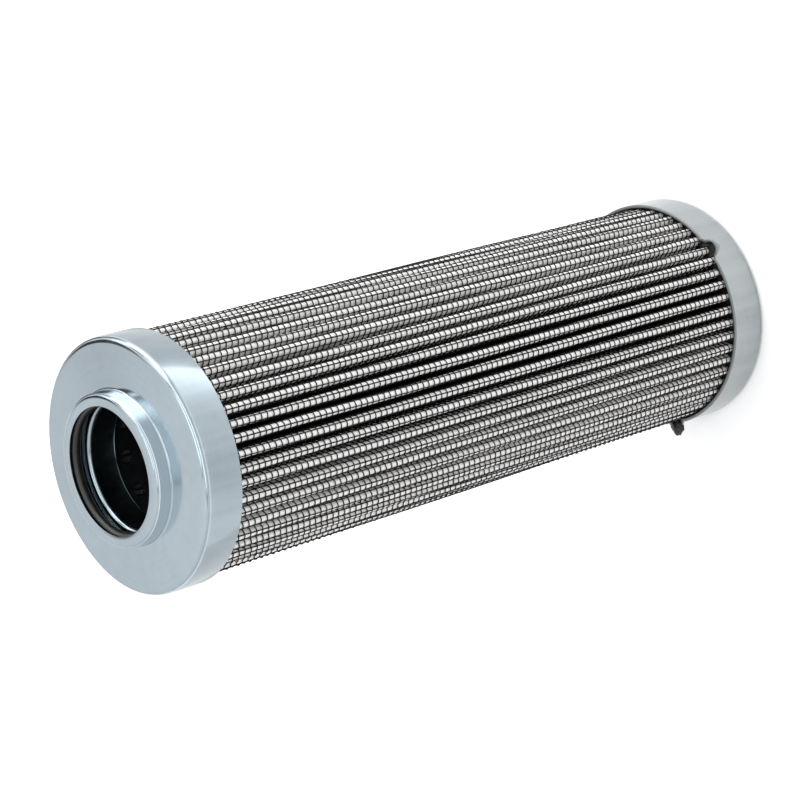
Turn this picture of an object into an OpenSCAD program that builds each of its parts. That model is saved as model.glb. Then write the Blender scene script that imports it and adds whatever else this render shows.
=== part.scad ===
// Pleated hydraulic filter element: two pressed metal end caps, one closed and one with a
// grooved neck that holds a sealing ring, bonded to a pleated media pack on a perforated tube.
// The closed end stands on z = 0, the axis is +Z and the neck is at the top. Millimetres.

/* [Element] */
// Outer diameter of both end caps
cap_d = 80; // [79:0.1:81]
// Height of the open cap's flange face above the closed end
flange_z = 247.3; // [150:0.1:330]

/* [Pressed caps] */
// Sheet thickness of the caps and of the sleeve
sheet_t = 1.0; // [0.8:0.05:1.1]
// Outer radius of the bend between a cap's plate and its skirt
cap_bend = 2.0; // [1.6:0.1:3]
// Depth of the open cap's skirt, from the flange face
open_skirt = 13.4; // [10:0.1:18]
// Depth of the closed cap's skirt, from the closed face
closed_skirt = 14.5; // [12:0.1:18]

/* [Neck and seal] */
// Height of the neck above the flange face
neck_h = 5.5; // [5.2:0.1:8]
// Outer radius of the neck wall
neck_r = 23.9; // [23.9:0.1:25]
// Outer radius of the bend at the neck's tip
neck_bend = 1.4; // [1.2:0.05:1.6]
// Concave radius where the neck wall meets the flange
neck_fillet = 0.7; // [0.4:0.1:1]
// Radius of the opening in the neck's front face
opening_r = 20.05; // [19.8:0.05:20.4]
// Radius of the sleeve's bore, which guides the spigot
spigot_r = 19.5; // [19.4:0.05:19.6]
// Radius of the sleeve's rolled lip
lip_r = 1.6; // [1.4:0.1:3.2]
// Distance from the flange face to the lower end of the sleeve
sleeve_depth = 11; // [8:0.5:14]
// Radius of the sleeve's flange
sleeve_flange_r = 29; // [27:0.5:33]
// Section diameter of the sealing ring
ring_d = 3.6; // [3.3:0.1:3.6]

/* [Support tube] */
// Inner radius of the perforated tube
tube_r = 20.6; // [20.6:0.05:20.7]
// Wall thickness of the perforated tube
tube_t = 1.0; // [0.8:0.05:1]
// Diameter of each perforation
hole_d = 4.8; // [3:0.1:5.5]
// Perforations in each row
holes_round = 12; // [6:1:14]
// Distance between rows of perforations
hole_pitch = 9; // [7:0.5:14]
// Height of the top row above the closed end
hole_top = 231.5; // [120:0.5:310]

/* [Pleated media] */
// Number of pleats
pleats = 52; // [44:1:52]
// Radius at the pleats' crests
crest_r = 38.64; // [38:0.02:38.7]
// Radius about which the media turns at each root
root_r = 23.2; // [23.2:0.1:24]
// Half of a pleat's width, at the outer face of the outer mesh
half_w = 1.28; // [1.2:0.02:1.28]
// How much fuller a pleat is at its crest than at its root, on each side
crest_full = 0.38; // [0:0.02:0.4]
// Angle of the first crest
crest_a0 = -91.5; // [-180:0.5:180]
// Thickness of the outer wire mesh
mesh_t = 0.40; // [0.3:0.02:0.44]
// Thickness of each fleece
fleece_t = 0.10; // [0.08:0.01:0.12]
// Thickness of each glass fibre layer
glass_t = 0.18; // [0.14:0.01:0.18]

/* [Adhesive] */
// How far the adhesive stays back from a skirt's edge
glue_back = 0.4; // [0.2:0.1:2]
// Thickness of the adhesive under the media at the closed end
glue_floor = 1.5; // [1:0.1:3]
// Direction of the first of the three spouts in the closed cap's skirt
spout_a = -65; // [-180:1:180]
// How far a spout's lip stands out of the skirt
spout_out = 3.6; // [2.6:0.1:4.4]
// Length of a spout along the skirt
spout_len = 6.5; // [5:0.1:8]
// Direction of the media pack's side seam
seam_a = 88.5; // [60:0.5:120]

/* [Hidden] */
$fn = 96;
e = 0.02;
cap_r = cap_d / 2;
wall_r = cap_r - sheet_t;                 // inside of both skirts
tube_o = tube_r + tube_t;
pack_lo = sheet_t + glue_floor;           // lower end of tube and media
pack_hi = flange_z - 4.4;         // upper end of tube and media
pitch_a = 360 / pleats;
gap_w = root_r * sin(pitch_a / 2) - half_w;   // half gap between two pleats at the root
crest_c = crest_r - half_w;               // centre of the crests' round
// Half widths of a pleat at the boundaries between the layers, from the outside in
w_mesh = half_w;
w_fleece = w_mesh - mesh_t;
w_pre = w_fleece - fleece_t;
w_main = w_pre - glass_t;
w_down = w_main - glass_t;
w_inner = w_down - fleece_t;
w_void = 0.08;
seam_k = round((seam_a - crest_a0) / pitch_a - 0.5);
seam_dir = crest_a0 + (seam_k + 0.5) * pitch_a;
spout_c = cap_r - 0.75;                   // radius of the spouts' axes
spout_slope = (spout_out + 0.4) / spout_len;

// A quarter of a round sheet bend in the r-z plane
module bend(c, ro, ri, qx, qz) {
    translate(c) intersection() {
        difference() { circle(r = ro); if (ri > 0) circle(r = ri); }
        translate([qx > 0 ? 0 : -ro, qz > 0 ? 0 : -ro]) square(ro);
    }
}
// A rectangle in the r-z plane from its two corners
module rect(a, b) { translate(a) square([b[0] - a[0], b[1] - a[1]]); }

// Outline of the folded media at half width w: a round at each crest, and the round about each root
function steps(w) = w > 0.5 ? 5 : 3;
function at(a, u, v) = [v * cos(a) - u * sin(a), v * sin(a) + u * cos(a)];
function crest(k, w, n) = [for (i = [0 : n]) let (p = 180 - 180 * i / n)
    at(crest_a0 + k * pitch_a, (w + crest_full) * cos(p), crest_c - crest_full + (w + crest_full) * sin(p))];
function root(k, w, n) = let (q = gap_w + half_w - w, h = pitch_a / 2)
    [for (i = [0 : n]) let (p = 180 + h + (180 - 2 * h) * i / n)
        at(crest_a0 + (k + 0.5) * pitch_a, q * cos(p), root_r + q * sin(p))];
function fold(w) = [for (k = [0 : pleats - 1]) each concat(crest(k, w, steps(w)), root(k, w, 3))];
// One layer of the media between two half widths
module layer(wo, wi) {
    a = fold(wo);
    b = fold(wi);
    translate([0, 0, pack_lo]) linear_extrude(pack_hi - pack_lo)
        polygon(concat(a, b), [[for (i = [0 : len(a) - 1]) i], [for (i = [0 : len(b) - 1]) len(a) + i]]);
}
// Everything inside the outer face of the folded media
module pack(lo, hi) { translate([0, 0, lo]) linear_extrude(hi - lo) polygon(fold(half_w)); }

// One spout's cone at each third of the turn, widest at the skirt's edge; off is the step in from its outer face
module spouts(off) {
    for (i = [0 : 2]) rotate([0, 0, spout_a + i * 120])
        translate([spout_c, 0, closed_skirt - spout_len + off / spout_slope])
            cylinder(r1 = 0.3, r2 = 0.3 + spout_slope * (spout_len + 1) - off, h = spout_len + 1 - off / spout_slope, $fn = 48);
}
// What stands above a spout's lip, which leans outwards
module above_lips(down) {
    for (i = [0 : 2]) rotate([0, 0, spout_a + i * 120])
        translate([cap_r - 0.4, 0, closed_skirt - down]) rotate([0, 20, 0]) translate([-3, -9, 0]) cube([12, 18, 6]);
}

module open_end_cap() {
    color([0.70, 0.74, 0.77]) rotate_extrude() union() {
        rect([wall_r, flange_z - open_skirt], [cap_r, flange_z - cap_bend]);
        bend([cap_r - cap_bend, flange_z - cap_bend], cap_bend, cap_bend - sheet_t, 1, 1);
        rect([neck_r + neck_fillet, flange_z - sheet_t], [cap_r - cap_bend, flange_z]);
        bend([neck_r + neck_fillet, flange_z + neck_fillet], neck_fillet + sheet_t, neck_fillet, -1, -1);
        rect([neck_r - sheet_t, flange_z + neck_fillet], [neck_r, flange_z + neck_h - neck_bend]);
        bend([neck_r - neck_bend, flange_z + neck_h - neck_bend], neck_bend, neck_bend - sheet_t, 1, 1);
        rect([opening_r, flange_z + neck_h - sheet_t], [neck_r - neck_bend, flange_z + neck_h]);
    }
}

module spigot_sleeve() {
    color([0.58, 0.63, 0.67]) rotate_extrude() union() {
        rect([spigot_r + lip_r, flange_z - 2 * sheet_t], [sleeve_flange_r, flange_z - sheet_t]);
        bend([spigot_r + lip_r, flange_z - sheet_t - lip_r], lip_r, lip_r - sheet_t, -1, 1);
        rect([spigot_r, flange_z - sleeve_depth], [spigot_r + sheet_t, flange_z - sheet_t - lip_r]);
    }
}

module sealing_ring() {
    color([0.06, 0.055, 0.05]) translate([0, 0, flange_z + neck_h - sheet_t - ring_d / 2])
        rotate_extrude() translate([neck_r - sheet_t - ring_d / 2, 0]) circle(d = ring_d);
}

module closed_end_cap() {
    color([0.72, 0.75, 0.78]) difference() {
        union() {
            rotate_extrude() union() {
                rect([0, 0], [cap_r - cap_bend, sheet_t]);
                bend([cap_r - cap_bend, cap_bend], cap_bend, cap_bend - sheet_t, 1, -1);
                rect([wall_r, cap_bend], [cap_r, closed_skirt]);
            }
            difference() {
                spouts(0);
                translate([0, 0, -1]) cylinder(r = wall_r + 0.3, h = closed_skirt + 5);
                translate([0, 0, closed_skirt]) cylinder(r = cap_r + 9, h = 5);
                above_lips(0);
            }
        }
        spouts(1.15);
    }
}

module support_tube() {
    color([0.10, 0.11, 0.12]) difference() {
        translate([0, 0, pack_lo]) difference() {
            cylinder(r = tube_o, h = pack_hi - pack_lo);
            translate([0, 0, -1]) cylinder(r = tube_r, h = pack_hi - pack_lo + 2);
        }
        for (j = [0 : floor((hole_top - pack_lo - 12) / hole_pitch)], i = [0 : holes_round - 1])
            translate([0, 0, hole_top - j * hole_pitch])
                rotate([0, 0, 82 + (i + (j % 2) / 2) * 360 / holes_round])
                    translate([tube_r - 1, 0, 0]) rotate([0, 90, 0]) cylinder(d = hole_d, h = tube_t + 2, $fn = 24);
    }
}

module outer_wire_mesh() { color([0.13, 0.12, 0.11]) layer(w_mesh, w_fleece); }
module upstream_fleece() { color([0.93, 0.92, 0.90]) layer(w_fleece, w_pre); }
module prefilter_layer() { color([0.96, 0.96, 0.95]) layer(w_pre, w_main); }
module fine_filter_layer() { color([0.97, 0.97, 0.96]) layer(w_main, w_down); }
module downstream_fleece() { color([0.92, 0.92, 0.90]) layer(w_down, w_inner); }
module inner_wire_mesh() { color([0.14, 0.13, 0.12]) layer(w_inner, w_void); }

// Bead that closes the media pack into a ring, in one valley
module side_seam() {
    lo = closed_skirt - glue_back;
    hi = flange_z - open_skirt + glue_back;
    color([0.05, 0.05, 0.05]) translate([0, 0, lo]) linear_extrude(hi - lo) difference() {
        polygon([at(seam_dir, -3, 31), at(seam_dir, 3, 31), at(seam_dir, 3, crest_c), at(seam_dir, -3, crest_c)]);
        polygon(fold(half_w));
    }
}

module open_end_adhesive() {
    lo = flange_z - open_skirt + glue_back;
    color([0.05, 0.05, 0.05]) union() {
        rotate_extrude() union() {
            rect([spigot_r + sheet_t, pack_hi], [wall_r, flange_z - sheet_t - lip_r]);
            bend([spigot_r + lip_r, flange_z - sheet_t - lip_r], lip_r - sheet_t, 0, -1, 1);
            rect([spigot_r + lip_r, flange_z - sheet_t - lip_r], [wall_r, flange_z - cap_bend]);
            rect([sleeve_flange_r, flange_z - cap_bend], [cap_r - cap_bend, flange_z - sheet_t]);
            bend([cap_r - cap_bend, flange_z - cap_bend], cap_bend - sheet_t, 0, 1, 1);
        }
        difference() {
            translate([0, 0, lo]) cylinder(r = wall_r, h = pack_hi - lo);
            pack(lo - 1, pack_hi + 1);
        }
    }
}

module closed_end_adhesive() {
    hi = closed_skirt - glue_back;
    color([0.05, 0.05, 0.05]) union() {
        rotate_extrude() union() {
            rect([0, sheet_t], [cap_r - cap_bend, cap_bend]);
            bend([cap_r - cap_bend, cap_bend], cap_bend - sheet_t, 0, 1, -1);
            rect([0, cap_bend], [wall_r, pack_lo]);
        }
        difference() {
            translate([0, 0, pack_lo]) cylinder(r = wall_r, h = hi - pack_lo);
            pack(pack_lo - 1, closed_skirt + 1);
        }
        difference() {
            spouts(1.15);
            translate([0, 0, -1]) cylinder(r = wall_r - 0.1, h = closed_skirt + 5);
            translate([0, 0, hi]) cylinder(r = cap_r + 9, h = 5);
            above_lips(glue_back);
        }
    }
}

open_end_cap();
spigot_sleeve();
sealing_ring();
closed_end_cap();
support_tube();
outer_wire_mesh();
upstream_fleece();
prefilter_layer();
fine_filter_layer();
downstream_fleece();
inner_wire_mesh();
side_seam();
open_end_adhesive();
closed_end_adhesive();
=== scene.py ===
import math
import bpy
import numpy as np
from mathutils import Matrix, Vector


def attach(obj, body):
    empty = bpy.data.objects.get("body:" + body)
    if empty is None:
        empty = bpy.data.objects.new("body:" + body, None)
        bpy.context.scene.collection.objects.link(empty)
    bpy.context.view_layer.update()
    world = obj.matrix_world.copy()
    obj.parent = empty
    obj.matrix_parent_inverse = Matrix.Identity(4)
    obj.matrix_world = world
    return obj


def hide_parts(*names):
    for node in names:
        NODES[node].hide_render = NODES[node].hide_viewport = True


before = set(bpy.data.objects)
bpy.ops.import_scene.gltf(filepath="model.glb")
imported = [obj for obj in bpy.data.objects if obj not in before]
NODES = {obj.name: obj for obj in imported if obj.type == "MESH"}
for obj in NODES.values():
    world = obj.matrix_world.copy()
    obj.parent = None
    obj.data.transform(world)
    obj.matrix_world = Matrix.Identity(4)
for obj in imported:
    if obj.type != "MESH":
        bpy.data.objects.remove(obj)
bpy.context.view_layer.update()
MM = 0.001

# ---------------------------------------------------------------- sizes, in mm, as in the CAD
CAP_R, WALL_R, SHEET = 40.0, 39.0, 1.0
FLANGE_Z, NECK_H, NECK_R = 247.3, 5.5, 23.9
OPEN_SKIRT, CLOSED_SKIRT = 13.4, 14.5
BEND, NECK_BEND, FILLET = 2.0, 1.4, 0.7
OPENING_R, SPIGOT_R, LIP_R = 20.05, 19.5, 1.6
SLEEVE_DEPTH, SLEEVE_FLANGE = 11.0, 29.0
RING_D = 3.6
PACK_LO, PACK_HI = 2.5, 242.9
PLEATS, PITCH_A = 52, 360.0 / 52
HALF_W, ROOT_R = 1.28, 23.2
CREST_C = 38.64 - HALF_W
CREST_FULL = 0.38
GAP_W = ROOT_R * math.sin(math.radians(PITCH_A / 2)) - HALF_W
CREST_A0 = -91.5
SPOUT_A, SPOUT_LEN, SPOUT_OUT = -65.0, 6.5, 3.6
SPOUT_C, SPOUT_SLOPE = CAP_R - 0.75, (SPOUT_OUT + 0.4) / SPOUT_LEN
MESH_PITCH = 2.316
MESH_Z0 = 3.2
SKEW_ALONG = 0.0152
SKEW_ROUND = 0.19
rng = np.random.default_rng(7)


# ---------------------------------------------------------------- mesh helpers
def make(name, verts, quads=(), tris=(), uv=None, smooth=True, material=None, attrs=None):
    """A mesh object from arrays, in mm. uv is one pair for each vertex."""
    verts = np.asarray(verts, np.float32).reshape(-1, 3) * MM
    quads = np.asarray(quads, np.int32).reshape(-1, 4)
    tris = np.asarray(tris, np.int32).reshape(-1, 3)
    me = bpy.data.meshes.new(name)
    me.vertices.add(len(verts))
    me.vertices.foreach_set("co", verts.ravel())
    loops = np.concatenate([quads.ravel(), tris.ravel()])
    me.loops.add(len(loops))
    me.loops.foreach_set("vertex_index", loops)
    n = len(quads) + len(tris)
    me.polygons.add(n)
    starts = np.concatenate([np.arange(len(quads)) * 4, len(quads) * 4 + np.arange(len(tris)) * 3]).astype(np.int32)
    me.polygons.foreach_set("loop_start", starts)
    me.polygons.foreach_set("use_smooth", np.full(n, bool(smooth)))
    me.update(calc_edges=True)
    if uv is not None:
        layer = me.uv_layers.new(name="UVMap")
        layer.data.foreach_set("uv", np.asarray(uv, np.float32)[loops].ravel())
    for key, values in (attrs or {}).items():
        a = me.attributes.new(key, "FLOAT", "POINT")
        a.data.foreach_set("value", np.asarray(values, np.float32))
    me.validate()
    ob = bpy.data.objects.new(name, me)
    bpy.context.scene.collection.objects.link(ob)
    if material:
        me.materials.append(material)
    return ob


def grid_quads(rows, cols, wrap_rows=False, wrap_cols=False, flip=False, start=0):
    """Quads of a grid of rows x cols vertices."""
    r = np.arange(rows if wrap_rows else rows - 1)
    c = np.arange(cols if wrap_cols else cols - 1)
    R, C = np.meshgrid(r, c, indexing="ij")
    R2, C2 = (R + 1) % rows, (C + 1) % cols
    q = np.stack([R * cols + C, R * cols + C2, R2 * cols + C2, R2 * cols + C], -1).reshape(-1, 4) + start
    return q[:, ::-1] if flip else q


def arc(cr, cz, r, a0, a1, n):
    t = np.radians(np.linspace(a0, a1, n + 1))
    return [(cr + r * math.cos(x), cz + r * math.sin(x)) for x in t]


def closed_profile(points):
    """Drops points that repeat, and gives the profile as an array."""
    out = []
    for p in points:
        if not out or math.dist(p, out[-1]) > 1e-4:
            out.append(p)
    if math.dist(out[0], out[-1]) < 1e-4:
        out.pop()
    return np.array(out, float)


def creased(points, crease=0.06):
    """Adds a point close to each side of each sharp corner, so that smooth shading keeps it crisp."""
    n = len(points)
    out = []
    for i in range(n):
        p, a, b = points[i], points[i - 1], points[(i + 1) % n]
        u, v = a - p, b - p
        lu, lv = np.linalg.norm(u), np.linalg.norm(v)
        turn = math.degrees(math.acos(max(-1, min(1, float(u @ v) / (lu * lv)))))
        if turn < 140:
            k = min(crease, lu * 0.3, lv * 0.3)
            out += [p + u / lu * k, p + (u / lu + v / lv) * k * 0.29, p + v / lv * k]
        else:
            out.append(p)
    return np.array(out)


def lathe(name, profile, material, seg=288, wobble=None):
    """A closed profile of (r, z) points turned about Z, counter-clockwise in the r-z plane."""
    p = creased(profile)
    a = np.radians(np.arange(seg) * 360 / seg)
    r = np.repeat(p[:, 0][:, None], seg, 1)
    z = np.repeat(p[:, 1][:, None], seg, 1)
    if wobble:
        r, z = wobble(r, z, a[None, :])
    v = np.stack([r * np.cos(a), r * np.sin(a), z], -1)
    return make(name, v, grid_quads(len(p), seg, True, True), material=material)


# ---------------------------------------------------------------- the folded media
# How far each crest on the seen side stands from an even spacing, in degrees
CREST_K = {-13: -2.2, -12: -1.4, -11: -1.9, -10: -1.2, -9: -0.9, -8: -1.1, -7: -1.5, -6: -0.9, -5: -0.5, -4: -0.8, -3: -0.5,
           -2: -0.5, -1: -0.3, 0: -0.1, 1: -0.2, 2: 0.0, 3: 0.2, 4: -0.1, 5: 0.5, 6: 0.9, 7: 0.7, 8: 1.1, 9: 1.5,
           10: 0.9, 11: 1.4, 12: 0.4, 13: -1.2}


def lean(k, z):
    """Degrees by which crest k leaves its even place at height z."""
    kk = (k + 26) % 52 - 26
    d = CREST_K.get(kk)
    if d is None:
        d = 0.75 * math.sin(kk * 2.399 + 0.8) * (0.25 if 24 <= k <= 28 else 1)
    t = (np.asarray(z) - 14) / 220
    wave = 0.14 * np.sin(2.2 * t * math.pi + kk * 1.7) + 0.09 * np.sin(5.1 * t * math.pi + kk * 2.9)
    return d + wave * (0.2 if 24 <= k <= 28 else 1)


def lift(k, z):
    """Millimetres by which crest k stands out from the even crest radius."""
    t = (np.asarray(z) - 14) / 220
    return 0.02 + 0.07 * np.sin(k * 4.1 + 1.0) + 0.05 * np.sin(3.3 * math.pi * t + k * 1.3)


def place(a, u, v):
    """at() of the CAD: u across and v out along the direction a, in degrees. Works on arrays."""
    a = np.radians(a)
    return v * np.cos(a) - u * np.sin(a), v * np.sin(a) + u * np.cos(a)


def fold(w, z, crest_n, root_n, mids=()):
    """Outline at half width w for each height in z: (len(z), n, 2) and outward normals. mids are places on each flank,
    from 0 at the crest to 1 at the root, where it has a point."""
    z = np.asarray(z, float)
    pts, nor = [], []
    q = GAP_W + HALF_W - w
    h = PITCH_A / 2
    for k in range(PLEATS):
        a = CREST_A0 + k * PITCH_A + lean(k, z)
        a2 = CREST_A0 + (k + 1) * PITCH_A + lean(k + 1 if k < PLEATS - 1 else 0, z)
        b = CREST_A0 + (k + 0.5) * PITCH_A + 0 * z
        rc = CREST_C + lift(k, z)
        rc2 = CREST_C + lift((k + 1) % PLEATS, z)
        for i in range(crest_n + 1):
            p = math.radians(180 - 180 * i / crest_n)
            x, y = place(a, (w + CREST_FULL) * math.cos(p), rc - CREST_FULL + (w + CREST_FULL) * math.sin(p))
            nx, ny = place(a, math.cos(p), math.sin(p))
            pts.append((x, y)); nor.append((nx, ny))
        end = pts[-1]
        run = []
        for i in range(root_n + 1):
            p = math.radians(180 + h + (180 - 2 * h) * i / root_n)
            x, y = place(b, q * math.cos(p), ROOT_R + q * math.sin(p))
            nx, ny = place(b, -math.cos(p), -math.sin(p))
            run.append(((x, y), (nx + 0 * z, ny + 0 * z)))
        start2 = place(a2, -w - CREST_FULL, rc2 - CREST_FULL)
        for m in mids:
            (x, y), (nx, ny) = run[0]
            px, py = end[0] + (x - end[0]) * m, end[1] + (y - end[1]) * m
            pts.append((px, py)); nor.append((nx, ny))
        for xy, nn in run:
            pts.append((xy[0] + 0 * z, xy[1] + 0 * z)); nor.append(nn)
        for m in reversed(mids):
            (x, y), (nx, ny) = run[-1]
            pts.append((start2[0] + (x - start2[0]) * m, start2[1] + (y - start2[1]) * m)); nor.append((nx, ny))
    P = np.array([[x + 0 * z, y + 0 * z] for x, y in pts])
    N = np.array([[x + 0 * z, y + 0 * z] for x, y in nor])
    return P.transpose(2, 0, 1), N.transpose(2, 0, 1)


def ring_wave(x, y, z):
    """How far the wires round the media sag along the axis, in mm, at a place on it."""
    a = np.arctan2(y, x)
    return 0.20 * np.sin(3 * a + z * 0.021) + 0.12 * np.sin(11 * a + z * 0.05 + 1.0) + 0.05 * np.sin(37 * a - z * 0.11)


def path_length(P):
    """Length along the outline to each of its points, and all round, for each height."""
    d = np.linalg.norm(np.roll(P, -1, 1) - P, axis=2)
    return np.concatenate([np.zeros((len(P), 1)), np.cumsum(d, 1)[:, :-1]], 1), d.sum(1)


def folded_sheet(name, wo, wi, z, crest_n, root_n, mids, material, attrs=True):
    """A closed folded sheet between the half widths wo and wi."""
    z = np.asarray(z, float)
    O, _ = fold(wo, z, crest_n, root_n, mids)
    I, _ = fold(wi, z, crest_n, root_n, mids)
    n, m = O.shape[1], len(z)
    s, total = path_length(O[m // 2][None])
    s = np.repeat(s, m, 0)
    Z = np.repeat(z[:, None], n, 1)
    vo = np.concatenate([O, Z[..., None]], 2)
    vi = np.concatenate([I, Z[..., None]], 2)
    q = [grid_quads(m, n, wrap_cols=True), grid_quads(m, n, wrap_cols=True, flip=True, start=m * n)]
    c = np.arange(n); c2 = (c + 1) % n
    q.append(np.stack([c2, c, m * n + c, m * n + c2], 1))
    b = (m - 1) * n
    q.append(np.stack([b + c, b + c2, m * n + b + c2, m * n + b + c], 1))
    turn = (s / total[0] - 0.5) % 1.0 - 0.5
    row = (Z - MESH_Z0 - ring_wave(O[..., 0], O[..., 1], Z) + SKEW_ROUND * turn * PLEATS) / MESH_PITCH
    col = (s - math.pi * (wo + CREST_FULL) / 2) / total[0] * 761 - SKEW_ALONG * (Z - 80) / (total[0] / 761)
    uv = np.stack([col, row], -1).reshape(-1, 2)
    depth = np.hypot(O[..., 0], O[..., 1]).reshape(-1)
    return make(name, np.concatenate([vo.reshape(-1, 3), vi.reshape(-1, 3)]), np.concatenate(q),
                uv=np.concatenate([uv, uv]), material=material, attrs={"radius_mm": np.concatenate([depth, depth])})


def tubes(name, path, out, side, d, closed, material, cap=True, flip=False):
    """Square-section wires with smooth shading. path, out and side are (wires, points, 3)."""
    W, n = path.shape[:2]
    h = d / 2
    ring = np.stack([path + out * h, path + side * h, path - out * h, path - side * h], 2)
    verts = ring.reshape(-1, 3)
    base = (np.arange(W) * n * 4)[:, None, None]
    i = np.arange(n if closed else n - 1)[:, None]
    j = np.arange(4)[None, :]
    i2 = (i + 1) % n
    j2 = (j + 1) % 4
    quad = np.stack([i * 4 + j, i * 4 + j2, i2 * 4 + j2, i2 * 4 + j], -1).reshape(1, -1, 4)
    quads = (quad + base).reshape(-1, 4)
    if not closed and cap:
        first = np.array([[3, 2, 1, 0]]) + base[:, 0]
        last = np.array([[0, 1, 2, 3]]) + (n - 1) * 4 + base[:, 0]
        quads = np.concatenate([quads, first, last])
    return make(name, verts, quads[:, ::-1] if flip else quads, material=material)


# ---------------------------------------------------------------- materials
class Mat:
    def __init__(self, name):
        self.m = bpy.data.materials.new(name)
        self.m.use_nodes = True
        self.t = self.m.node_tree
        self.t.nodes.clear()
        self.out = self.t.nodes.new("ShaderNodeOutputMaterial")
        self.bsdf = self.t.nodes.new("ShaderNodeBsdfPrincipled")
        self.t.links.new(self.bsdf.outputs[0], self.out.inputs[0])
        self.coord = self.t.nodes.new("ShaderNodeTexCoord").outputs["Object"]
        self._uv = None

    def uv(self):
        if self._uv is None:
            self._uv = self.t.nodes.new("ShaderNodeTexCoord").outputs["UV"]
        return self._uv

    def link(self, a, b):
        self.t.links.new(a, b)

    def val(self, socket, x):
        if hasattr(x, "links") or isinstance(x, bpy.types.NodeSocket):
            self.link(x, socket)
        else:
            socket.default_value = x

    def noise(self, scale, detail=3, rough=0.55, vec=None, dist=0.0, stretch=None):
        n = self.t.nodes.new("ShaderNodeTexNoise")
        n.inputs["Scale"].default_value = scale
        n.inputs["Detail"].default_value = detail
        n.inputs["Roughness"].default_value = rough
        n.inputs["Distortion"].default_value = dist
        v = vec or self.coord
        if stretch:
            mp = self.t.nodes.new("ShaderNodeMapping")
            mp.inputs["Scale"].default_value = stretch
            self.link(v, mp.inputs[0])
            v = mp.outputs[0]
        self.link(v, n.inputs["Vector"])
        return n.outputs["Fac"]

    def voronoi(self, scale, vec=None, feature="F1", out="Distance"):
        n = self.t.nodes.new("ShaderNodeTexVoronoi")
        n.feature = feature
        n.inputs["Scale"].default_value = scale
        self.link(vec or self.coord, n.inputs["Vector"])
        return n.outputs[out]

    def ramp(self, x, stops):
        n = self.t.nodes.new("ShaderNodeValToRGB")
        els = n.color_ramp.elements
        while len(els) < len(stops):
            els.new(0.5)
        for e, (p, c) in zip(els, stops):
            e.position = p
            e.color = (*c, 1) if len(c) == 3 else c
        self.link(x, n.inputs[0])
        return n.outputs[0]

    def rng(self, x, a, b, c, d, clamp=True, smooth=False):
        n = self.t.nodes.new("ShaderNodeMapRange")
        n.clamp = clamp
        if smooth:
            n.interpolation_type = "SMOOTHSTEP"
        for i, v in zip(range(1, 5), (a, b, c, d)):
            n.inputs[i].default_value = v
        self.link(x, n.inputs[0])
        return n.outputs[0]

    def math(self, op, a, b=0.0, c=None):
        n = self.t.nodes.new("ShaderNodeMath")
        n.operation = op
        self.val(n.inputs[0], a)
        self.val(n.inputs[1], b)
        if c is not None:
            self.val(n.inputs[2], c)
        return n.outputs[0]

    def mix(self, f, a, b, mode="MIX"):
        n = self.t.nodes.new("ShaderNodeMix")
        n.data_type = "RGBA"
        n.blend_type = mode
        self.val(n.inputs[0], f)
        for s, v in ((n.inputs[6], a), (n.inputs[7], b)):
            if isinstance(v, tuple):
                v = (*v, 1)
            self.val(s, v)
        return n.outputs[2]

    def bump(self, height, strength, distance, normal=None):
        n = self.t.nodes.new("ShaderNodeBump")
        n.inputs["Strength"].default_value = strength
        n.inputs["Distance"].default_value = distance
        self.link(height, n.inputs["Height"])
        if normal is not None:
            self.link(normal, n.inputs["Normal"])
        return n.outputs[0]

    def xyz(self, v=None):
        n = self.t.nodes.new("ShaderNodeSeparateXYZ")
        self.link(v or self.coord, n.inputs[0])
        return n.outputs

    def attr(self, name):
        n = self.t.nodes.new("ShaderNodeAttribute")
        n.attribute_name = name
        return n.outputs["Fac"]

    def polar(self):
        """(radius, angle, z) of a point, as a vector whose parts are in metres, turns and metres."""
        x, y, z = self.xyz()[:3]
        r = self.math("SQRT", self.math("ADD", self.math("MULTIPLY", x, x), self.math("MULTIPLY", y, y)))
        a = self.math("ARCTAN2", y, x)
        return r, a, z

    def join(self, x, y, z):
        n = self.t.nodes.new("ShaderNodeCombineXYZ")
        for s, v in zip(n.inputs, (x, y, z)):
            self.val(s, v)
        return n.outputs[0]

    def set(self, **kw):
        names = {"color": "Base Color", "metal": "Metallic", "rough": "Roughness", "normal": "Normal", "ior": "IOR",
                 "coat": "Coat Weight", "coat_rough": "Coat Roughness", "sheen": "Sheen Weight", "sss": "Subsurface Weight",
                 "aniso": "Anisotropic", "sheen_rough": "Sheen Roughness", "spec": "Specular IOR Level"}
        for k, v in kw.items():
            s = self.bsdf.inputs[names[k]]
            if isinstance(v, tuple):
                v = (*v, 1)
            self.val(s, v)
        return self


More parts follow.
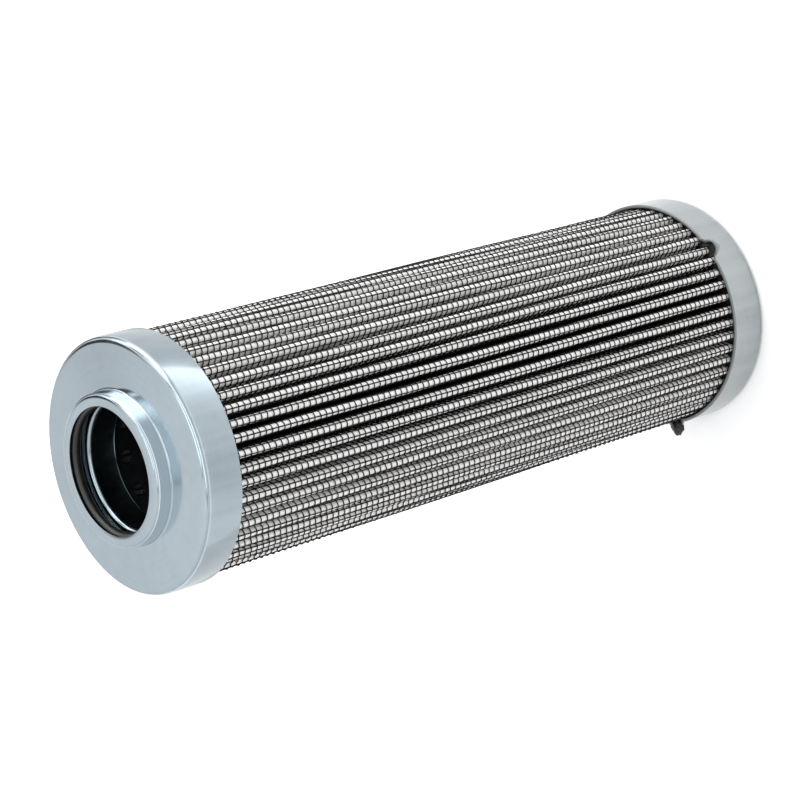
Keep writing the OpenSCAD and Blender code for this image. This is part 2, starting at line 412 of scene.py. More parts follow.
def zinc(name, base, dark, r0, r1, streak=0.35, cut_edge=False, painted_neck_sheen=False):
    """Bright zinc on drawn sheet: faint turned streaks, clouds of handling marks and a few fine scratches."""
    m = Mat(name)
    r, a, z = m.polar()
    rings = m.noise(1.0, 4, 0.6, vec=m.join(m.math("MULTIPLY", r, 1400), m.math("MULTIPLY", a, 1.6), m.math("MULTIPLY", z, 900)))
    cloud = m.noise(55, 5, 0.6, dist=0.6)
    blot = m.noise(240, 4, 0.6)
    fine = m.noise(2600, 2, 0.5)
    scratch = m.rng(m.voronoi(170, vec=m.join(m.math("MULTIPLY", r, 5), m.math("MULTIPLY", a, 0.35), m.math("MULTIPLY", z, 6)), feature="DISTANCE_TO_EDGE"), 0.0, 0.012, 1.0, 0.0)
    tone = m.math("ADD", m.math("MULTIPLY", rings, streak), m.math("ADD", m.math("MULTIPLY", cloud, 0.5), m.math("MULTIPLY", blot, 0.25)))
    col = m.ramp(tone, [(0.30, dark), (0.52, base), (0.78, tuple(min(1, c * 1.07) for c in base))])
    col = m.mix(m.math("MULTIPLY", scratch, 0.15), col, (0.62, 0.65, 0.67))
    rough = m.rng(m.math("ADD", m.math("MULTIPLY", cloud, 0.7), m.math("MULTIPLY", blot, 0.3)), 0.35, 0.65, r0, r1)
    draw = m.noise(1.0, 3, 0.6, vec=m.join(m.math("MULTIPLY", m.math("COSINE", a), 9.0), m.math("MULTIPLY", m.math("SINE", a), 9.0), m.math("MULTIPLY", z, 14)))
    skirt = m.rng(r, 0.0385, 0.0395, 0.0, 1.0)
    col = m.mix(m.math("MULTIPLY", skirt, m.rng(draw, 0.40, 0.66, 0.0, 0.5)), col, tuple(min(1, c * 1.16) for c in base))
    rough = m.math("ADD", rough, m.math("MULTIPLY", skirt, m.rng(draw, 0.35, 0.65, -0.015, 0.02)))
    if painted_neck_sheen:
        # Painted reflection: the neck wall's colour is pulled towards a light blue-grey, standing in for the bright
        # light it reflects.
        wall = m.math("MULTIPLY", m.rng(r, 0.0243, 0.0249, 1.0, 0.0), m.math("MULTIPLY", m.rng(z, 0.2477, 0.2481, 0.0, 1.0), m.rng(z, 0.2516, 0.2522, 1.0, 0.0)))
        col = m.mix(m.math("MULTIPLY", wall, 0.9), col, (0.70, 0.78, 0.83))
    if cut_edge:
        cut = m.attr("cut_edge")
        rough = m.math("ADD", rough, m.math("MULTIPLY", cut, 0.35))
        col = m.mix(m.math("MULTIPLY", cut, 0.85), col, (0.17, 0.18, 0.18))
    nrm = m.bump(rings, 0.10, 0.00003)
    nrm = m.bump(fine, 0.06, 0.00002, nrm)
    nrm = m.bump(cloud, 0.08, 0.0003, nrm)
    m.set(color=col, metal=1.0, rough=rough, normal=nrm)
    return m.m


def epoxy():
    m = Mat("black_epoxy_glossy")
    n1 = m.noise(160, 4, 0.6, dist=0.8)
    n2 = m.noise(900, 3, 0.5)
    col = m.ramp(n1, [(0.3, (0.004, 0.004, 0.0038)), (0.7, (0.012, 0.011, 0.010))])
    nrm = m.bump(n1, 0.55, 0.0009)
    nrm = m.bump(n2, 0.25, 0.00015, nrm)
    m.set(color=col, rough=m.rng(n2, 0.3, 0.7, 0.34, 0.52), normal=nrm, spec=0.35, coat=0.06, coat_rough=0.2)
    return m.m


def wire_coat():
    m = Mat("coated_wire_dark")
    n1 = m.noise(380, 3, 0.6)
    n2 = m.noise(3200, 2, 0.5)
    col = m.ramp(n1, [(0.30, (0.003, 0.0026, 0.0024)), (0.60, (0.007, 0.006, 0.0055)), (0.85, (0.020, 0.017, 0.015))])
    m.set(color=col, rough=m.rng(n2, 0.3, 0.7, 0.42, 0.60), normal=m.bump(n2, 0.3, 0.00003), spec=0.2)
    return m.m


def rubber():
    m = Mat("nitrile_black_ring")
    n1 = m.noise(300, 4, 0.6)
    n2 = m.noise(2600, 3, 0.6)
    col = m.ramp(n1, [(0.3, (0.005, 0.0043, 0.0036)), (0.7, (0.013, 0.0105, 0.0085))])
    m.set(color=col, rough=m.rng(n1, 0.3, 0.7, 0.30, 0.42), normal=m.bump(n2, 0.2, 0.00005), coat=0.15, coat_rough=0.25)
    return m.m


def tube_metal():
    m = Mat("dark_tube_coat")
    r, a, z = m.polar()
    n1 = m.noise(90, 5, 0.6, dist=0.5)
    n2 = m.noise(1.0, 3, 0.5, vec=m.join(m.math("MULTIPLY", r, 300), m.math("MULTIPLY", a, 60), m.math("MULTIPLY", z, 90)))
    col = m.ramp(n1, [(0.3, (0.008, 0.009, 0.010)), (0.7, (0.022, 0.025, 0.027))])
    m.set(color=col, metal=0.35, rough=m.rng(n1, 0.3, 0.7, 0.30, 0.48), normal=m.bump(n2, 0.25, 0.00006), coat=0.1, coat_rough=0.3)
    return m.m


def cloth(name, white, shade, pillow=1.0, valley=True):
    """White bonded fibre that bulges through the wires, with painted shade where it dips under the wires and deep
    between the pleats, and darker where adhesive soaks it.
    """
    m = Mat(name)
    u, v = m.xyz(m.uv())[:2]
    su = m.math("ABSOLUTE", m.math("SINE", m.math("MULTIPLY", u, math.pi)))
    sv = m.math("ABSOLUTE", m.math("SINE", m.math("MULTIPLY", v, math.pi)))
    pil = m.math("MULTIPLY", m.math("POWER", su, 0.6), m.math("POWER", sv, 0.6))
    fib = m.noise(1500, 4, 0.65)
    fib2 = m.noise(3800, 3, 0.6, stretch=(1, 1, 3))
    cloud = m.noise(120, 4, 0.6)
    mid = tuple((a + b) / 2 for a, b in zip(white, shade))
    col = m.ramp(m.math("ADD", m.math("MULTIPLY", fib, 0.6), m.math("MULTIPLY", cloud, 0.4)),
                 [(0.30, shade), (0.48, mid), (0.62, white)])
    # Painted shade: the fibre is darker towards the wires, where it dips under them.
    painted_wire_shade = m.rng(pil, 0.0, 0.25, 0.85, 1.0)
    col = m.mix(1.0, col, m.ramp(painted_wire_shade, [(0.0, (0.0, 0.0, 0.0)), (1.0, (1, 1, 1))]), "MULTIPLY")
    if valley:
        # Painted shade: deeper between the pleats, by radius, the fibre darkens to near black.
        rad = m.attr("radius_mm")
        deep = m.rng(m.math("ADD", rad, m.math("MULTIPLY", m.math("SUBTRACT", fib, 0.5), 1.2)), 27.0, 34.6, 0.0, 1.0)
        col = m.mix(1.0, col, m.ramp(deep, [(0.0, (0.012, 0.011, 0.010)), (0.55, (0.16, 0.155, 0.15)), (1.0, (1, 1, 1))]), "MULTIPLY")
        z = m.xyz()[2]
        wick = m.noise(330, 3, 0.5)
        zlo = m.rng(m.math("SUBTRACT", z, m.math("MULTIPLY", wick, 0.0008)), 0.0121, 0.0127, 0.0, 1.0)
        zhi = m.rng(m.math("ADD", z, m.math("MULTIPLY", wick, 0.0008)), 0.2348, 0.2336, 0.0, 1.0)
        soak = m.math("MULTIPLY", zlo, zhi)
        col = m.mix(soak, (0.03, 0.028, 0.026), col)
    nrm = m.bump(pil, 0.9 * pillow, 0.00045)
    nrm = m.bump(fib, 0.35, 0.00008, nrm)
    nrm = m.bump(fib2, 0.2, 0.00004, nrm)
    m.set(color=col, rough=m.rng(fib, 0.3, 0.7, 0.75, 0.95), normal=nrm, spec=0.25)
    return m.m


def woven(name):
    """Wire cloth drawn as a sheet: its pattern of wires is in colour and relief."""
    m = Mat(name)
    u, v = m.xyz(m.uv())[:2]
    su = m.math("ABSOLUTE", m.math("SINE", m.math("MULTIPLY", u, math.pi)))
    sv = m.math("ABSOLUTE", m.math("SINE", m.math("MULTIPLY", v, math.pi)))
    wire = m.math("MAXIMUM", m.rng(su, 0.0, 0.35, 1.0, 0.0), m.rng(sv, 0.0, 0.35, 1.0, 0.0))
    n2 = m.noise(1800, 3, 0.6)
    col = m.mix(wire, (0.05, 0.048, 0.046), (0.012, 0.011, 0.010))
    nrm = m.bump(wire, 0.8, 0.0002)
    m.set(color=col, rough=m.rng(n2, 0.3, 0.7, 0.4, 0.6), normal=m.bump(n2, 0.2, 0.00004, nrm))
    return m.m


zinc_cap = zinc("zinc_sheet_open_end", (0.385, 0.445, 0.485), (0.345, 0.40, 0.44), 0.12, 0.19, 0.2, painted_neck_sheen=True)
zinc_low = zinc("zinc_sheet_closed_end", (0.37, 0.395, 0.40), (0.32, 0.345, 0.35), 0.13, 0.20, 0.2, cut_edge=True)
# The sleeve's zinc is a darker copy of the caps' zinc: painted shade for its place deep in the neck.
zinc_sleeve_shaded = zinc("zinc_sleeve_shaded", (0.30, 0.36, 0.385), (0.24, 0.29, 0.31), 0.12, 0.20, 0.2)
black_epoxy = epoxy()
coated = wire_coat()
nitrile = rubber()
tube_dark = tube_metal()
fleece_white = cloth("fleece_white", (0.73, 0.717, 0.702), (0.70, 0.688, 0.673), 0.18)
glass_white = cloth("glass_fibre_white", (0.90, 0.90, 0.88), (0.80, 0.80, 0.78), 0.2, False)
fleece_inner = cloth("fleece_inner", (0.84, 0.83, 0.81), (0.70, 0.69, 0.67), 0.3, False)
inner_mesh_mat = woven("inner_wire_cloth")

# ---------------------------------------------------------------- open end cap, sleeve, ring
top = FLANGE_Z + NECK_H
neck_wall_top = top - NECK_BEND
prof = []
prof += [(WALL_R, FLANGE_Z - OPEN_SKIRT), (CAP_R, FLANGE_Z - OPEN_SKIRT)]
prof += arc(CAP_R - BEND, FLANGE_Z - BEND, BEND, 0, 90, 8)
prof += arc(NECK_R + FILLET, FLANGE_Z + FILLET, FILLET, 270, 180, 6)
prof += arc(NECK_R - NECK_BEND, neck_wall_top, NECK_BEND, 0, 90, 7)
prof += [(OPENING_R, top), (OPENING_R, top - SHEET)]
prof += arc(NECK_R - NECK_BEND, neck_wall_top, NECK_BEND - SHEET, 90, 0, 4)
prof += arc(NECK_R + FILLET, FLANGE_Z + FILLET, FILLET + SHEET, 180, 270, 6)
prof += arc(CAP_R - BEND, FLANGE_Z - BEND, BEND - SHEET, 90, 0, 5)


def shape_open(r, z, a):
    """The pressing is not quite true: a trace of waviness in the skirt and flange."""
    k = np.clip((r - 24) / 16, 0, 1)
    z = z + k * (0.05 * np.sin(2 * a + 0.5) + 0.02 * np.sin(5 * a)) * (z > FLANGE_Z - 6)
    r = r + np.clip((r - 36) / 4, 0, 1) * (0.04 * np.sin(3 * a + 1) + 0.02 * np.sin(7 * a)) * -1
    return r, z


open_cap = lathe("cap_open_pressed", closed_profile(prof), zinc_cap, 320, shape_open)
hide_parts("open_end_cap")

sleeve_top = FLANGE_Z - SHEET
prof = [(SPIGOT_R, FLANGE_Z - SLEEVE_DEPTH + 0.45), (SPIGOT_R - 0.16, FLANGE_Z - SLEEVE_DEPTH + 0.16), (SPIGOT_R - 0.10, FLANGE_Z - SLEEVE_DEPTH),
        (SPIGOT_R + SHEET, FLANGE_Z - SLEEVE_DEPTH)]
prof += arc(SPIGOT_R + LIP_R, sleeve_top - LIP_R, LIP_R - SHEET, 180, 90, 6)
prof += [(SLEEVE_FLANGE, sleeve_top - SHEET), (SLEEVE_FLANGE, sleeve_top)]
prof += arc(SPIGOT_R + LIP_R, sleeve_top - LIP_R, LIP_R, 90, 180, 12)
sleeve = lathe("sleeve_rolled", closed_profile(prof), zinc_sleeve_shaded, 256)
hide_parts("spigot_sleeve")

ring_pts = np.array(arc(NECK_R - SHEET - RING_D / 2, top - SHEET - RING_D / 2, RING_D / 2, 0, 360, 32)[:-1])
a = np.radians(np.arange(288) * 1.25)
v = np.stack([ring_pts[:, 0][:, None] * np.cos(a), ring_pts[:, 0][:, None] * np.sin(a), np.repeat(ring_pts[:, 1][:, None], 288, 1)], -1)
seal = make("sealing_ring_round", v, grid_quads(32, 288, True, True), material=nitrile)
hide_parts("sealing_ring")


# ---------------------------------------------------------------- closed end cap with three spouts
def spout_radius(a_deg, z, off):
    """Radius of a spout's cone at an angle and height, or 0 away from it."""
    best = np.zeros(np.broadcast(a_deg, z).shape)
    for i in range(3):
        d = (a_deg - SPOUT_A - 120 * i + 180) % 360 - 180
        rho = 0.3 + SPOUT_SLOPE * (z - (CLOSED_SKIRT - SPOUT_LEN)) - off
        x = SPOUT_C * np.tan(np.radians(np.clip(d, -20, 20)))
        inside = (np.abs(d) < 20) & (rho > np.abs(x))
        best = np.maximum(best, np.where(inside, SPOUT_C + np.sqrt(np.maximum(rho * rho - x * x, 0)), 0))
    return best


def soft_max(a, b, k):
    h = np.clip(0.5 + 0.5 * (b - a) / k, 0, 1)
    return a * (1 - h) + b * h + k * h * (1 - h)


def cap_angles():
    base = list(np.arange(0, 360, 1.5))
    for i in range(3):
        c = (SPOUT_A + 120 * i) % 360
        base = [b for b in base if abs((b - c + 180) % 360 - 180) > 9.2]
        base += [(c + x) % 360 for x in np.arange(-9, 9.01, 0.3)]
    return np.array(sorted(base))


ca = cap_angles()
lip_drop = np.zeros_like(ca)
for i in range(3):
    d = (ca - SPOUT_A - 120 * i + 180) % 360 - 180
    x = SPOUT_C * np.tan(np.radians(np.clip(d, -12, 12)))
    lip_drop = np.maximum(lip_drop, np.where(np.abs(x) < 4.3, 1.4 * np.sqrt(np.maximum(1 - (x / 4.3) ** 2, 0)), 0))
rows_r, rows_z = [], []


def row(r, z):
    rows_r.append(np.broadcast_to(r, ca.shape).astype(float))
    rows_z.append(np.broadcast_to(z, ca.shape).astype(float))


for rr in (2.0, 6, 14, 22, 30, 36, 37.7):
    row(rr, 0.0)
for rr, zz in arc(CAP_R - BEND, BEND, BEND, 270, 360, 8):
    row(rr, zz)
edge = CLOSED_SKIRT - lip_drop
for t in list(np.linspace(0.12, 0.93, 22)) + [0.945, 0.958]:
    z = BEND + (edge - BEND) * t
    row(soft_max(np.full_like(ca, CAP_R), spout_radius(ca, z, 0), 0.7) + 0 * z, z)
out_r, out_z = rows_r[-1].copy(), rows_z[-1].copy()
inner_edge = soft_max(np.full_like(ca, WALL_R), spout_radius(ca, edge, 1.1), 0.35)
cut_from = len(rows_r)
for t, up in ((0.06, 0.16), (0.18, 0.31), (0.36, 0.43), (0.60, 0.52), (0.93, 0.56)):
    row(out_r + (inner_edge - out_r) * t, out_z + up)
cut_to = len(rows_r)
for t in [1.0, 0.985] + list(np.linspace(0.96, 0.12, 22)):
    z = BEND + (edge - BEND) * t
    row(soft_max(np.full_like(ca, WALL_R), spout_radius(ca, z, 1.1), 0.35), z)
for rr, zz in arc(CAP_R - BEND, BEND, BEND - SHEET, 360, 270, 5):
    row(rr, zz)
for rr in (37.7, 34, 24, 12, 2.0):
    row(rr, SHEET)
Rr, Rz = np.array(rows_r), np.array(rows_z)
ang = np.radians(ca)[None, :]
wob = np.clip((Rr - 36) / 4, 0, 1) * (0.05 * np.sin(2 * ang + 1) + 0.03 * np.sin(5 * ang))
Rr = Rr - np.abs(wob)
for i in range(3):
    d = np.abs((ca - SPOUT_A - 120 * i + 180) % 360 - 180)[None, :]
    pull = np.clip((Rz - 4.5) / 6, 0, 1) ** 2 * (Rr > 36)
    Rr = Rr - pull * (0.20 * np.exp(-((d - 6.9) / 0.9) ** 2) - 0.0 * d)
v = np.stack([Rr * np.cos(ang), Rr * np.sin(ang), Rz], -1).reshape(-1, 3)
nr, nc = Rr.shape
q = grid_quads(nr, nc, wrap_cols=True, flip=False)
v = np.concatenate([v, [[0, 0, 0], [0, 0, SHEET]]])
c = np.arange(nc); c2 = (c + 1) % nc
t1 = np.stack([np.full(nc, nr * nc), c2, c], 1)
t2 = np.stack([np.full(nc, nr * nc + 1), (nr - 1) * nc + c, (nr - 1) * nc + c2], 1)
cut_face = np.zeros((nr, nc))
cut_face[cut_from:cut_to] = 1.0
closed_cap = make("cap_closed_spouted", v, q, np.concatenate([t1, t2]), material=zinc_low,
                  attrs={"cut_edge": np.append(cut_face.ravel(), [0, 0])})
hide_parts("closed_end_cap")


# ---------------------------------------------------------------- adhesive in both caps
def crest_wave(a_rad, r):
    """1 in the middle of a valley between two pleats and 0 at a crest, as the adhesive climbs there."""
    k = (np.degrees(a_rad) - CREST_A0) / PITCH_A
    return 0.5 - 0.5 * np.cos(2 * math.pi * k)


aa = np.sort(np.concatenate([ca, (ca + 0.75) % 360]))
aa = aa[np.concatenate([[True], np.diff(aa) > 0.05])]
rows_r, rows_z = [], []


def arow(r, z):
    rows_r.append(np.broadcast_to(r, aa.shape).astype(float))
    rows_z.append(np.broadcast_to(z, aa.shape).astype(float))


ar = np.radians(aa)
arow(2.0, SHEET + 0.01)
arow(36, SHEET + 0.01)
arow(38.6, 1.9)
edge_a = np.interp(aa, np.concatenate([ca - 360, ca, ca + 360]), np.tile(edge, 3))
for t in np.linspace(0.05, 1.0, 14):
    z = BEND + (edge_a - 1.1 - BEND) * t
    arow(soft_max(np.full_like(aa, WALL_R), spout_radius(aa, z, 1.1), 0.35) - 0.02, z)
rim = rows_r[-1]
rimz = rows_z[-1]
lump = 0.22 * np.sin(9 * ar + 1) + 0.16 * np.sin(23 * ar) + 0.10 * np.sin(57 * ar + 2)
for t, up in ((0.12, 0.0), (0.3, 0.1), (0.55, 0.3), (0.8, 0.55), (1.0, 0.8)):
    rr = rim + (36.6 - rim) * t
    arow(rr, rimz + (CLOSED_SKIRT - 1.9 - rimz) * min(1, t * 1.4) + up * (0.05 + 0.4 * lump + 0.9 * crest_wave(ar, rr)))
for rr, zz in ((34, 13.4), (30, 13.2), (26, 13.1), (22, 13.0)):
    arow(rr, zz + 0.3 * lump)
arow(21.7, 13.1)
arow(21.7, 2.45)
arow(2.0, 2.45)
Rr, Rz = np.array(rows_r), np.array(rows_z)
v = np.stack([Rr * np.cos(ar), Rr * np.sin(ar), Rz], -1).reshape(-1, 3)
nr, nc = Rr.shape
v = np.concatenate([v, [[0, 0, SHEET + 0.01], [0, 0, 2.45]]])
c = np.arange(nc); c2 = (c + 1) % nc
t1 = np.stack([np.full(nc, nr * nc), c2, c], 1)
t2 = np.stack([np.full(nc, nr * nc + 1), (nr - 1) * nc + c, (nr - 1) * nc + c2], 1)
glue_low = make("adhesive_closed_end", v, grid_quads(nr, nc, wrap_cols=True), np.concatenate([t1, t2]), material=black_epoxy)
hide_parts("closed_end_adhesive")

# the adhesive that ran over the lip of one spout
u, w = np.meshgrid(np.radians(np.arange(0, 360, 6)), np.radians(np.linspace(4, 176, 28)))
bx, by, bz = np.sin(w) * np.cos(u), np.sin(w) * np.sin(u), np.cos(w)
bump = 1 + 0.09 * np.sin(3 * bx + 4 * by + 1) + 0.07 * np.sin(7 * by - 5 * bz) + 0.04 * np.sin(11 * bx + 9 * bz)
nose = np.clip(bx, 0, 1) ** 2
rad = 41.5 + 2.6 * bx * bump + 0.6 * nose
tan = 3.0 * by * bump * (1 - 0.45 * nose)
hgt = 13.2 + 1.75 * bz * bump * (1 - 0.35 * nose) - 0.5 * nose
sa = math.radians(SPOUT_A + 240)
v = np.stack([rad * math.cos(sa) - tan * math.sin(sa), rad * math.sin(sa) + tan * math.cos(sa), hgt], -1)
top_v, low_v = v[0].mean(0), v[-1].mean(0)
nr, nc = v.shape[:2]
c = np.arange(nc); c2 = (c + 1) % nc
t1 = np.stack([np.full(nc, nr * nc), c, c2], 1)
t2 = np.stack([np.full(nc, nr * nc + 1), (nr - 1) * nc + c2, (nr - 1) * nc + c], 1)
glue_run = make("adhesive_over_lip", np.concatenate([v.reshape(-1, 3), [top_v, low_v]]), grid_quads(nr, nc, wrap_cols=True, flip=True),
                np.concatenate([t1, t2]), material=black_epoxy)
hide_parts("closed_end_adhesive")

lo = FLANGE_Z - OPEN_SKIRT + 0.4
prof = [(WALL_R - 0.01, lo + 0.1)]
prof += arc(CAP_R - BEND, FLANGE_Z - BEND, BEND - SHEET - 0.01, 0, 90, 4)
prof += [(SLEEVE_FLANGE + 0.02, FLANGE_Z - SHEET - 0.01), (SLEEVE_FLANGE + 0.02, sleeve_top - SHEET - 0.01)]
prof += arc(SPIGOT_R + LIP_R, sleeve_top - LIP_R, LIP_R - SHEET - 0.01, 90, 180, 5)
prof += [(SPIGOT_R + SHEET + 0.01, PACK_HI + 0.02), (21.7, PACK_HI + 0.02), (21.7, lo + 0.3)]
for rr, zz in ((26, lo + 0.25), (31, lo + 0.15), (35, lo), (37.5, lo - 0.05)):
    prof.append((rr, zz))
prof = np.array(prof)
sg = 416
a = np.radians(np.arange(sg) * 360 / sg)
pr = np.repeat(prof[:, 0][:, None], sg, 1)
pz = np.repeat(prof[:, 1][:, None], sg, 1)
low = (pz < lo + 0.35) & (pr > 30)
pz = pz - low * np.clip((pr - 30) / 6, 0, 1) * (0.30 + 0.12 * np.sin(13 * a) + 0.1 * np.sin(31 * a)) * crest_wave(a, pr)
v = np.stack([pr * np.cos(a), pr * np.sin(a), pz], -1)
glue_top = make("adhesive_open_end", v, grid_quads(len(prof), sg, True, True), material=black_epoxy)
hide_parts("open_end_adhesive")

# ---------------------------------------------------------------- media layers
zs = np.concatenate([[PACK_LO], np.linspace(12, 236, 25), [PACK_HI]])
zc = np.concatenate([[PACK_LO], np.linspace(14, 234, 10), [PACK_HI]])
fleece = folded_sheet("fleece_outer", 0.88, 0.78, zs, 6, 2, (0.16, 0.36), fleece_white)
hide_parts("upstream_fleece")
pre = folded_sheet("glass_prefilter", 0.78, 0.60, zc, 3, 2, (), glass_white)
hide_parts("prefilter_layer")
main = folded_sheet("glass_fine_filter", 0.60, 0.42, zc, 3, 2, (), glass_white)
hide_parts("fine_filter_layer")
down = folded_sheet("fleece_downstream", 0.42, 0.32, zc, 3, 2, (), fleece_inner)
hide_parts("downstream_fleece")
inner = folded_sheet("wire_cloth_inner", 0.32, 0.08, zc, 3, 2, (), inner_mesh_mat)
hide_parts("inner_wire_mesh")

# ---------------------------------------------------------------- outer wire mesh: the wires round the folds
WIRE_D = 0.40
W_MID = 1.09
N_ALONG = 761
SEAM_K = 26
rows = np.arange(int((PACK_HI - MESH_Z0) / MESH_PITCH) + 1)
zw = MESH_Z0 + rows * MESH_PITCH
P, N = fold(W_MID, zw, 6, 2, (0.36,))
per = P.shape[1] // PLEATS
P, N = np.roll(P, -SEAM_K * per, 1), np.roll(N, -SEAM_K * per, 1)
P, N = np.concatenate([P, P[:, :1]], 1), np.concatenate([N, N[:, :1]], 1)
d = np.linalg.norm(np.diff(P, axis=1), axis=2)
s_len = np.concatenate([np.zeros((len(P), 1)), np.cumsum(d, 1)], 1)
share = s_len / s_len[:, -1:]
step = s_len[:, -1].mean() / N_ALONG
phase = share * N_ALONG
amp = 0.07 * np.cos(math.pi * (phase + rows[:, None]))
Z = zw[:, None] + ring_wave(P[..., 0], P[..., 1], zw[:, None] + 0 * P[..., 0]) - SKEW_ROUND * (share - 0.5) * PLEATS
over = np.clip(Z, PACK_LO + 0.25, PACK_HI - 0.25)
Z = over + (Z - over) * 0.01
N3 = np.concatenate([N, np.zeros(N.shape[:2] + (1,))], 2)
P3 = np.concatenate([P, Z[..., None]], 2) + N3 * amp[..., None]
side = np.zeros_like(N3)
side[..., 2] = 1
wires = []
parts = np.array_split(rows, 3)
for i, part in enumerate(parts):
    o = tubes(f"mesh_wires_round_{i + 1}", P3[part], N3[part], side[part], WIRE_D, False, coated, flip=True)
    wires.append(o)

# the wires along the folds, which run a little aslant, so that each crosses a crest now and then
zl = np.linspace(PACK_LO + 0.2, PACK_HI - 0.2, 17)
PL, NL = fold(W_MID, zl, 12, 4, (0.12, 0.3, 0.6))
sl, tl = path_length(PL)
frac = sl / tl[:, None]
path = np.zeros((N_ALONG, len(zl), 3))
out = np.zeros_like(path)
for j in range(len(zl)):
    f = np.concatenate([frac[j], [1.0]])
    target = (math.pi * (W_MID + CREST_FULL) / 2 / tl[j] + (np.arange(N_ALONG) + SKEW_ALONG * (zl[j] - 80) / step) / N_ALONG) % 1.0
    for ax in range(2):
        path[:, j, ax] = np.interp(target, f, np.append(PL[j, :, ax], PL[j, 0, ax]))
        out[:, j, ax] = np.interp(target, f, np.append(NL[j, :, ax], NL[j, 0, ax]))
    path[:, j, 2] = zl[j]
ln = np.linalg.norm(out, axis=2, keepdims=True)
out = out / np.maximum(ln, 1e-6)
sd = np.cross(np.array([0, 0, 1.0]), out)
along = tubes("mesh_wires_along", path, out, sd, WIRE_D * 0.95, False, coated)
wires.append(along)
for o in wires:
    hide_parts("outer_wire_mesh")

# ---------------------------------------------------------------- CAD nodes that stay
for name, mat, slot in (("support_tube", tube_dark, "dark_tube"), ("side_seam", black_epoxy, "black_epoxy")):
    o = NODES[name]
    o.data.materials.clear()
    o.data.materials.append(mat)

media_len = float(path_length(fold(0.83, np.array([120.0]), 6, 2, (0.16, 0.36))[0])[1][0]) * MM

for o in [open_cap, sleeve, seal, closed_cap, glue_low, glue_run, glue_top, fleece, pre, main, down, inner] + wires:
    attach(o, "root")

# ---------------------------------------------------------------- floor, light, camera
bpy.ops.mesh.primitive_plane_add(size=8, location=(0, 0, -0.0002))
floor = bpy.context.object
floor.name = "floor"
fm = Mat("floor_paper")
fm.set(color=fm.ramp(fm.noise(3, 3), [(0.3, (0.91, 0.91, 0.91)), (0.7, (0.93, 0.93, 0.93))]), rough=0.9, spec=0.1)
floor.data.materials.append(fm.m)
flag = make("dark_flag", [(150, 780, 5), (1300, 780, 5), (1300, 780, 400), (150, 780, 400), (640, 1000, 60), (1160, 400, 60), (1160, 400, 620), (640, 1000, 620)], [(0, 1, 2, 3), (4, 5, 6, 7)], smooth=False)
dm = Mat("flag_cloth")
fx, fy, fz = dm.xyz()[:3]
fade = dm.math("MAXIMUM", dm.rng(fz, 0.16, 0.42, 0.0, 1.0, smooth=True),
               dm.math("MAXIMUM", dm.rng(fx, 0.15, 0.38, 1.0, 0.0, smooth=True), dm.rng(fx, 0.95, 1.25, 0.0, 1.0, smooth=True)))
fade = dm.math("ADD", dm.math("MULTIPLY", fade, 0.9), dm.rng(dm.noise(40, 3), 0.3, 0.7, 0.02, 0.05))
dm.set(color=dm.ramp(fade, [(0.0, (0, 0, 0)), (1.0, (1, 1, 1))]), rough=0.9, spec=0.1)
flag.data.materials.append(dm.m)
flag.visible_camera = False
flag.visible_diffuse = False
flag.visible_shadow = False
ra, rb, steps = 110, 620, 12
ta = np.radians(np.arange(0, 360, 4))
rd = np.linspace(ra, rb, steps)
ring_v = np.stack([np.outer(rd, np.cos(ta)), np.outer(rd, np.sin(ta)), np.full((steps, len(ta)), 1.0)], -1)
card = make("grey_card", ring_v, grid_quads(steps, len(ta), wrap_cols=True, flip=True), smooth=False)
# Painted light on a card seen only in polished surfaces: darker on the camera side, with a lighter band that also glows
# where a pool of light would fall; the near skirt shows it as its highlight.
cm = Mat("card_painted_light")
cr, cang, cz = cm.polar()
tone = cm.rng(cang, -3.1, -2.0, 0.72, 0.56, smooth=True)
tone = cm.math("ADD", tone, cm.rng(cang, -2.0, -1.0, 0.0, 0.13, smooth=True))
tone = cm.math("SUBTRACT", tone, cm.rng(cang, -0.26, 0.1, 0.0, 0.12, smooth=True))
peak = cm.math("MULTIPLY", cm.rng(cang, -1.40, -0.36, 0.0, 1.0, smooth=True), cm.rng(cang, -0.32, -0.22, 1.0, 0.0, smooth=True))
tone = cm.math("ADD", tone, cm.math("MULTIPLY", peak, 0.18))
fade = cm.math("MULTIPLY", cm.rng(cr, 0.11, 0.17, 0.0, 1.0, smooth=True), cm.rng(cr, 0.50, 0.60, 1.0, 0.0, smooth=True))
tone = cm.math("ADD", cm.math("MULTIPLY", tone, fade), cm.math("MULTIPLY", cm.math("SUBTRACT", 1.0, fade), 0.92))
tone = cm.math("MULTIPLY", tone, cm.rng(cm.noise(40, 3), 0.3, 0.7, 0.98, 1.02))
cm.set(color=cm.ramp(tone, [(0.0, (0, 0, 0)), (1.0, (1, 1, 1))]), rough=0.9, spec=0.1)
cm.bsdf.inputs["Emission Color"].default_value = (0.95, 0.98, 1.0, 1)
cm.link(cm.math("MULTIPLY", cm.math("POWER", peak, 3.5), 1.05), cm.bsdf.inputs["Emission Strength"])
card.data.materials.append(cm.m)
card.visible_camera = False
card.visible_diffuse = False
card.visible_shadow = False

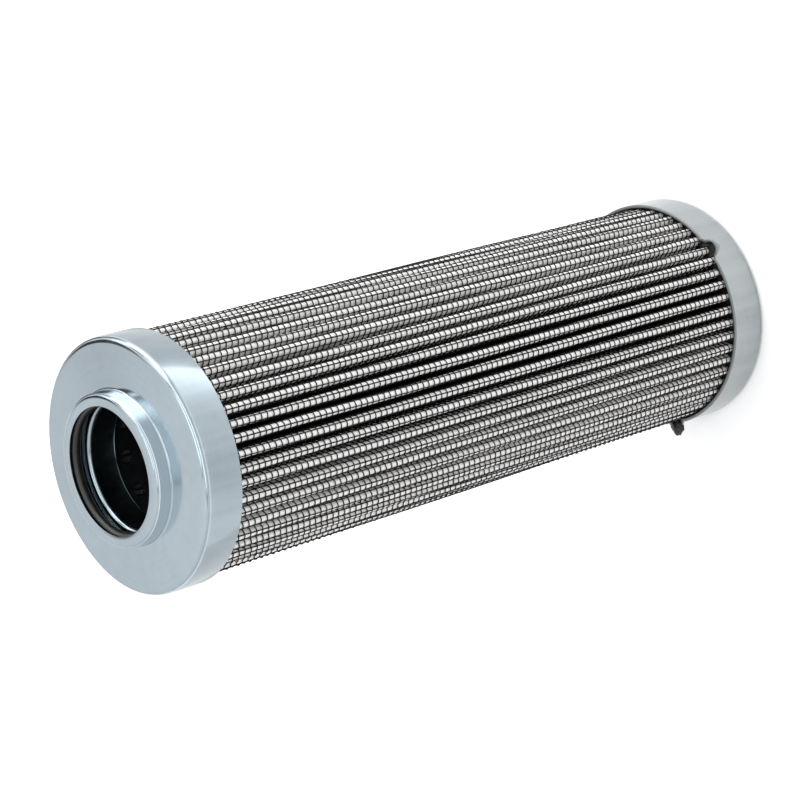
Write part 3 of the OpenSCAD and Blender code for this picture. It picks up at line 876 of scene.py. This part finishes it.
# a strip light high behind the camera and a panel above it, which only polished surfaces show
az = np.radians(np.linspace(-140, 30, 35))
hz = np.linspace(0, 1, 9)
sv = np.stack([np.outer(np.ones(9), 900 * np.cos(az)), np.outer(np.ones(9), 900 * np.sin(az)), np.outer(720 + 440 * hz, np.ones(35))], -1)
suv = np.stack(np.meshgrid(np.linspace(0, 1, 35), hz), -1).reshape(-1, 2)
over = np.array([(-350, -780, 1700), (1000, -780, 1700), (1000, -60, 1700), (-350, -60, 1700)], float)
strip = make("strip_light", np.concatenate([sv.reshape(-1, 3), over]), np.concatenate([grid_quads(9, 35), [[315, 318, 317, 316]]]),
             uv=np.concatenate([suv, [(0, 0), (1, 0), (1, 1), (0, 1)]]), smooth=False)
sm = Mat("strip_glow")
su_, sv_ = sm.xyz(sm.uv())[:2]
edge_u = sm.math("MULTIPLY", sm.rng(su_, 0.0, 0.12, 0.0, 1.0, smooth=True), sm.rng(su_, 0.80, 1.0, 1.0, 0.0, smooth=True))
edge_v = sm.math("MULTIPLY", sm.rng(sv_, 0.0, 0.25, 0.0, 1.0, smooth=True), sm.rng(sv_, 0.75, 1.0, 1.0, 0.0, smooth=True))
glow = sm.math("MULTIPLY", sm.math("MULTIPLY", edge_u, edge_v), 2.9)
em = sm.t.nodes.new("ShaderNodeEmission")
em.inputs[0].default_value = (0.93, 0.98, 1.0, 1)
sm.link(glow, em.inputs[1])
sm.link(em.outputs[0], sm.out.inputs[0])
sm.t.nodes.remove(sm.bsdf)
strip.data.materials.append(sm.m)
strip.visible_camera = False
strip.visible_diffuse = False
strip.visible_shadow = False

# A white tent: brighter overhead, with one bright side panel and one dark gap between its panels
world = bpy.data.worlds.new("studio")
bpy.context.scene.world = world
world.use_nodes = True
wt = world.node_tree
bg = wt.nodes["Background"]
wc = wt.nodes.new("ShaderNodeTexCoord").outputs["Generated"]


def w_range(x, a, b, c, d):
    n = wt.nodes.new("ShaderNodeMapRange")
    n.interpolation_type = "SMOOTHSTEP"
    for i, v in zip(range(1, 5), (a, b, c, d)):
        n.inputs[i].default_value = v
    wt.links.new(x, n.inputs[0])
    return n.outputs[0]


def w_lobe(direction, a, b, c, d):
    n = wt.nodes.new("ShaderNodeVectorMath")
    n.operation = "DOT_PRODUCT"
    wt.links.new(wc, n.inputs[0])
    n.inputs[1].default_value = Vector(direction).normalized()
    return w_range(n.outputs["Value"], a, b, c, d)


def w_math(op, a, b):
    n = wt.nodes.new("ShaderNodeMath")
    n.operation = op
    for s, v in zip(n.inputs, (a, b)):
        if isinstance(v, (int, float)):
            s.default_value = v
        else:
            wt.links.new(v, s)
    return n.outputs[0]


wn = wt.nodes.new("ShaderNodeSeparateXYZ")
wt.links.new(wc, wn.inputs[0])
level = w_range(wn.outputs[2], 0.0, 0.9, 0.95, 1.25)
level = w_math("MULTIPLY", level, w_lobe((0.433, 0.75, 0.5), 0.935, 0.97, 1.0, 0.08))
level = w_math("ADD", level, w_lobe((0.95, 0.12, 0.30), 0.74, 0.92, 0.0, 2.5))
wt.links.new(level, bg.inputs[1])
bg.inputs[0].default_value = (0.985, 0.995, 1.0, 1)


def area(name, loc, target, size, power, color=(1, 1, 1)):
    d = bpy.data.lights.new(name, "AREA")
    d.shape = "RECTANGLE"
    d.size, d.size_y = size
    d.energy = power
    d.color = color
    o = bpy.data.objects.new(name, d)
    bpy.context.scene.collection.objects.link(o)
    o.location = loc
    o.rotation_mode = "QUATERNION"
    o.rotation_quaternion = (Vector(target) - Vector(loc)).to_track_quat("-Z", "Y")
    return o


top_soft = area("top_soft", (0.1, 0.2, 1.7), (0, 0, 0.1), (1.4, 1.4), 12)
top_soft.visible_glossy = False

cam_data = bpy.data.cameras.new("photo_camera")
cam_data.sensor_width = 36.0
cam_data.lens = 112.655406
cam_data.clip_start, cam_data.clip_end = 0.05, 30
cam = bpy.data.objects.new("photo_camera", cam_data)
bpy.context.scene.collection.objects.link(cam)
X = Vector((-0.2775081, -0.6132515, -0.7395349))
Y = Vector((0.960712, -0.173397, -0.2167164))
Zc = Vector((0.0046685, -0.7706206, 0.6372771))
cam.matrix_world = Matrix.Translation((0, -0.630597, 0.658487)) @ Matrix((X, Y, Zc)).transposed().to_4x4()
bpy.context.scene.camera = cam
bpy.context.scene.view_settings.view_transform = "Standard"
bpy.context.scene.view_settings.look = "None"
